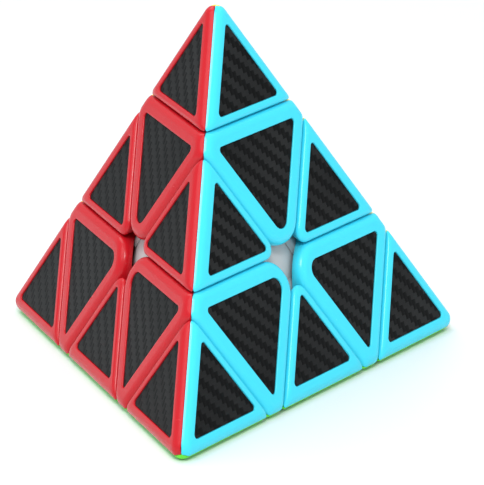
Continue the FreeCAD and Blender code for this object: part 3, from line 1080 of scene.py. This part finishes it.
def vary_roughness(nodes: bpy.types.Nodes, links: bpy.types.NodeLinks,
                   factor: bpy.types.NodeSocket, low: float, high: float) -> None:
    """Let the shader's roughness follow a factor.

    Args:
        nodes: The material's nodes.
        links: The material's links.
        factor: Socket that gives zero to one.
        low: Roughness at zero.
        high: Roughness at one.
    """
    spread = nodes.new("ShaderNodeMapRange")
    spread.inputs["To Min"].default_value = low
    spread.inputs["To Max"].default_value = high
    links.new(factor, spread.inputs["Value"])
    links.new(spread.outputs["Result"], nodes["Principled BSDF"].inputs["Roughness"])


def add_bump(nodes: bpy.types.Nodes, links: bpy.types.NodeLinks,
             height: bpy.types.NodeSocket, strength: float, distance: float) -> None:
    """Let the shader's normal follow a height.

    Args:
        nodes: The material's nodes.
        links: The material's links.
        height: Socket that gives the height.
        strength: Share of the bump that is used.
        distance: Height in metres that a value of one stands for.
    """
    bump = nodes.new("ShaderNodeBump")
    bump.inputs["Strength"].default_value = strength
    bump.inputs["Distance"].default_value = distance
    links.new(height, bump.inputs["Height"])
    links.new(bump.outputs["Normal"], nodes["Principled BSDF"].inputs["Normal"])


def noise(
    nodes: bpy.types.Nodes,
    links: bpy.types.NodeLinks,
    vector: bpy.types.NodeSocket,
    scale: float,
    detail: float,
) -> bpy.types.NodeSocket:
    """Noise at a scale in features per metre."""
    node = nodes.new("ShaderNodeTexNoise")
    node.inputs["Scale"].default_value = scale
    node.inputs["Detail"].default_value = detail
    links.new(vector, node.inputs["Vector"])
    return node.outputs["Fac"]


def streak(
    nodes: bpy.types.Nodes,
    links: bpy.types.NodeLinks,
    vector: bpy.types.NodeSocket,
    scale: tuple[float, float, float],
) -> bpy.types.NodeSocket:
    """Noise drawn out along one way of a map in millimetres."""
    stretch = nodes.new("ShaderNodeMapping")
    stretch.inputs["Scale"].default_value = scale
    links.new(vector, stretch.inputs["Vector"])
    return noise(nodes, links, stretch.outputs["Vector"], 1.0, 2.0)


def ramp(
    nodes: bpy.types.Nodes,
    links: bpy.types.NodeLinks,
    factor: bpy.types.NodeSocket,
    low: tuple[float, float, float],
    high: tuple[float, float, float],
) -> bpy.types.NodeSocket:
    """Blend between two colours by a factor."""
    mix = nodes.new("ShaderNodeMix")
    mix.data_type = "RGBA"
    mix.inputs["A"].default_value = (*low, 1)
    mix.inputs["B"].default_value = (*high, 1)
    links.new(factor, mix.inputs["Factor"])
    return mix.outputs["Result"]


@dataclass
class Puzzle:
    """The whole puzzle: its shells, stickers and inner pieces."""

    nodes: dict[str, bpy.types.Object]
    pyramid: Pyramid

    def __post_init__(self) -> None:
        """Make the finishes."""
        colours = {
            Side.RED: (0.53, 0.009, 0.016),
            Side.BLUE: (0.052, 0.67, 0.84),
            Side.GREEN: (0.16, 0.78, 0.05),
            Side.YELLOW: (0.95, 0.74, 0.03),
        }
        self.plastics = {
            side: Plastic(f"{side.word}_plastic", colour).material()
            for side, colour in colours.items()
        }
        self.film = CarbonFilm("carbon_sticker").material()
        self.core = Plastic("core_grey", (0.50, 0.49, 0.49), 0.30).material()
        self.inner = Plastic("inner_grey", (0.46, 0.455, 0.455), 0.40).material()

    def add(self, shell: Shell, side: Side, corner: Corner, body: str) -> None:
        """Add one coloured shell and its sticker, and let them stand for their CAD nodes.

        Args:
            shell: The shell's shape.
            side: Face that the shell lies on.
            corner: Vertex that its frame points to.
            body: Moving body that it rides on; its CAD nodes' names start with it.
        """
        place = Place(side, corner, self.pyramid.face_distance)
        name = f"{body}_{side.word}"
        skin = shell.surface()
        piece = make_object(f"{name}_shell", skin.faces, place.carry(skin.array()), SHARP_SHELL)
        piece.data.materials.append(self.plastics[side])
        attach(piece, body)
        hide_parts(name)
        skin = shell.sticker_surface()
        world = place.carry(skin.array())
        label = make_object(f"{name}_sticker", skin.faces, world, SHARP_STICKER)
        add_face_map(label.data, place, world)
        label.data.materials.append(self.film)
        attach(label, body)
        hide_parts(f"{body}_stickers")
        LOG.info("%s: %d faces on %s", name, len(piece.data.polygons), body)

    def build_outside(self) -> None:
        """Add every shell and sticker."""
        tip = TipShell(self.pyramid)
        axial = AxialShell(self.pyramid)
        edge = EdgeShell(self.pyramid)
        for side in Side:
            for corner in side.corners:
                word = corner.word
                self.add(tip, side, corner, f"{word}_tip")
                self.add(axial, side, corner, f"{word}_axial")
                ends = frozenset(other for other in side.corners if other is not corner)
                self.add(edge, side, corner, EDGE_NAMES[ends])

    def build_feet(self) -> None:
        """Add the grey feet of the edge pieces."""
        for ends, name in EDGE_NAMES.items():
            first, second = sorted(ends, key=lambda corner: corner.name)
            skin = EdgeFoot(self.pyramid, (first, second)).surface()
            foot = make_object(f"{name}_foot", skin.faces, skin.array(), SHARP_SHELL)
            foot.data.materials.append(self.inner)
            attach(foot, name)
            faces = [side.word for side in Side if side.value not in ends]
            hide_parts(*(f"{name}_{word}" for word in faces))
            LOG.info("%s: foot", name)

    def dress_inside(self) -> None:
        """Give the inner pieces their finishes."""
        grey, inner = self.core, self.inner
        steel = Steel("axle_steel").material()
        finishes = {"core_ball": grey, "axle_screws": steel, "axle_springs": steel,
                    "axle_washers": steel}
        for corner in Corner:
            finishes[f"{corner.word}_axial_body"] = inner
        for name, finish in finishes.items():
            mesh = self.nodes[name].data
            for slot in range(max(len(mesh.materials), 1)):
                if slot < len(mesh.materials):
                    mesh.materials[slot] = finish
                else:
                    mesh.materials.append(finish)


@dataclass(frozen=True)
class SoftLight:
    """A square soft light: where it stands, its size in metres, power in watts, and tint."""

    name: str
    place: tuple[float, float, float]
    size: float
    power: float
    tint: tuple[float, float, float] = (1.0, 1.0, 1.0)


LIGHTS = (
    SoftLight("sky_panel", (0.0, 0.2, 2.0), 3.0, 13.0),
    SoftLight("back_light", (-0.5, 0.5, 1.1), 0.7, 3.5, (1.0, 0.97, 0.94)),
    SoftLight("key_light", (-0.5, -0.5, 0.9), 0.7, 3.0),
    SoftLight("fill_light", (0.9, -0.7, 0.35), 0.9, 1.0, (0.95, 0.98, 1.0)),
    SoftLight("ridge_light", (0.06, -0.62, 0.78), 0.22, 4.0),
)


@dataclass
class Studio:
    """Pale floor, soft lights and a long lens."""

    floor_height: float
    azimuth: float = 7.01
    elevation: float = 19.53
    lens: float = 288.5
    camera_place: tuple[float, float, float] = (0.09655, -0.74171, 0.27139)
    floor_columns: int = 41
    floor_rows: int = 61
    world_colour: tuple[float, float, float] = (0.90, 0.965, 1.0)
    world_strength: float = 0.75

    def add_camera(self) -> None:
        """Long lens from a little right of the front and above."""
        data = bpy.data.cameras.new("studio_camera")
        data.lens = self.lens
        data.clip_end = 20
        camera = bpy.data.objects.new("studio_camera", data)
        azimuth, elevation = math.radians(self.azimuth), math.radians(self.elevation)
        ahead = Vector((
            -math.sin(azimuth) * math.cos(elevation),
            math.cos(azimuth) * math.cos(elevation),
            -math.sin(elevation),
        ))
        right = ahead.cross(Vector((0, 0, 1))).normalized()
        up = right.cross(ahead)
        basis = Matrix((right, up, -ahead)).transposed().to_4x4()
        camera.matrix_world = Matrix.Translation(Vector(self.camera_place)) @ basis
        bpy.context.scene.collection.objects.link(camera)
        bpy.context.scene.camera = camera

    def add_floor(self) -> None:
        """A wide, softly curved pale sheet that rises behind the puzzle."""
        columns, rows = self.floor_columns, self.floor_rows
        steps = np.linspace(-1, 1, columns)
        reach, rise = 3.0, 1.6
        x, t = np.meshgrid(steps * reach, np.linspace(0, 1, rows), indexing="ij")
        y = -reach + 2 * reach * t
        z = self.floor_height + rise * np.clip((y - 1.0) / 2.0, 0, 1) ** 2
        points = np.stack([x, y, z], axis=-1).reshape(-1, 3)
        index = np.arange(columns * rows).reshape(columns, rows)
        quads = np.stack(
            [index[:-1, :-1], index[1:, :-1], index[1:, 1:], index[:-1, 1:]], axis=-1
        ).reshape(-1, 4)
        mesh = bpy.data.meshes.new("studio_floor")
        mesh.from_pydata(points.tolist(), [], quads.tolist())
        mesh.polygons.foreach_set("use_smooth", np.ones(len(mesh.polygons), bool))
        floor = bpy.data.objects.new("studio_floor", mesh)
        bpy.context.scene.collection.objects.link(floor)
        material, nodes, links, shader = new_material("pale_floor")
        shader.inputs["Roughness"].default_value = 0.55
        place = nodes.new("ShaderNodeTexCoord")
        tone = noise(nodes, links, place.outputs["Object"], 3.0, 2.0)
        links.new(
            ramp(nodes, links, tone, (0.755, 0.785, 0.80), (0.775, 0.80, 0.81)),
            shader.inputs["Base Color"],
        )
        mesh.materials.append(material)

    def add_light(self, soft: SoftLight) -> None:
        """Add a light that looks at the puzzle.

        Args:
            soft: The light.
        """
        data = bpy.data.lights.new(soft.name, "AREA")
        data.shape = "SQUARE"
        data.size = soft.size
        data.energy = soft.power
        data.color = soft.tint
        light = bpy.data.objects.new(soft.name, data)
        light.location = soft.place
        light.rotation_euler = (-Vector(soft.place)).to_track_quat("-Z", "Y").to_euler()
        bpy.context.scene.collection.objects.link(light)

    def add_world(self) -> None:
        """An even, nearly white surround."""
        world = bpy.data.worlds.new("studio_world")
        world.use_nodes = True
        background = world.node_tree.nodes["Background"]
        background.inputs["Color"].default_value = (*self.world_colour, 1)
        background.inputs["Strength"].default_value = self.world_strength
        bpy.context.scene.world = world

    def build(self) -> None:
        """Set up the whole studio."""
        bpy.context.scene.view_settings.view_transform = "Standard"
        self.add_camera()
        self.add_floor()
        self.add_world()
        for soft in LIGHTS:
            self.add_light(soft)


def main() -> None:
    """Build the puzzle round its frame."""
    logging.basicConfig(level=logging.INFO)
    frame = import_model()
    rest_face = frame["record"]["mounts"][0]["pos_m"][2]
    pyramid = Pyramid(edge=-rest_face * 12 / math.sqrt(6))
    puzzle = Puzzle(frame["nodes"], pyramid)
    puzzle.build_outside()
    puzzle.build_feet()
    puzzle.dress_inside()
    studio = Studio(floor_height=-pyramid.face_distance - 0.05 * MM)
    studio.build()


if __name__ == "__main__":
    main()
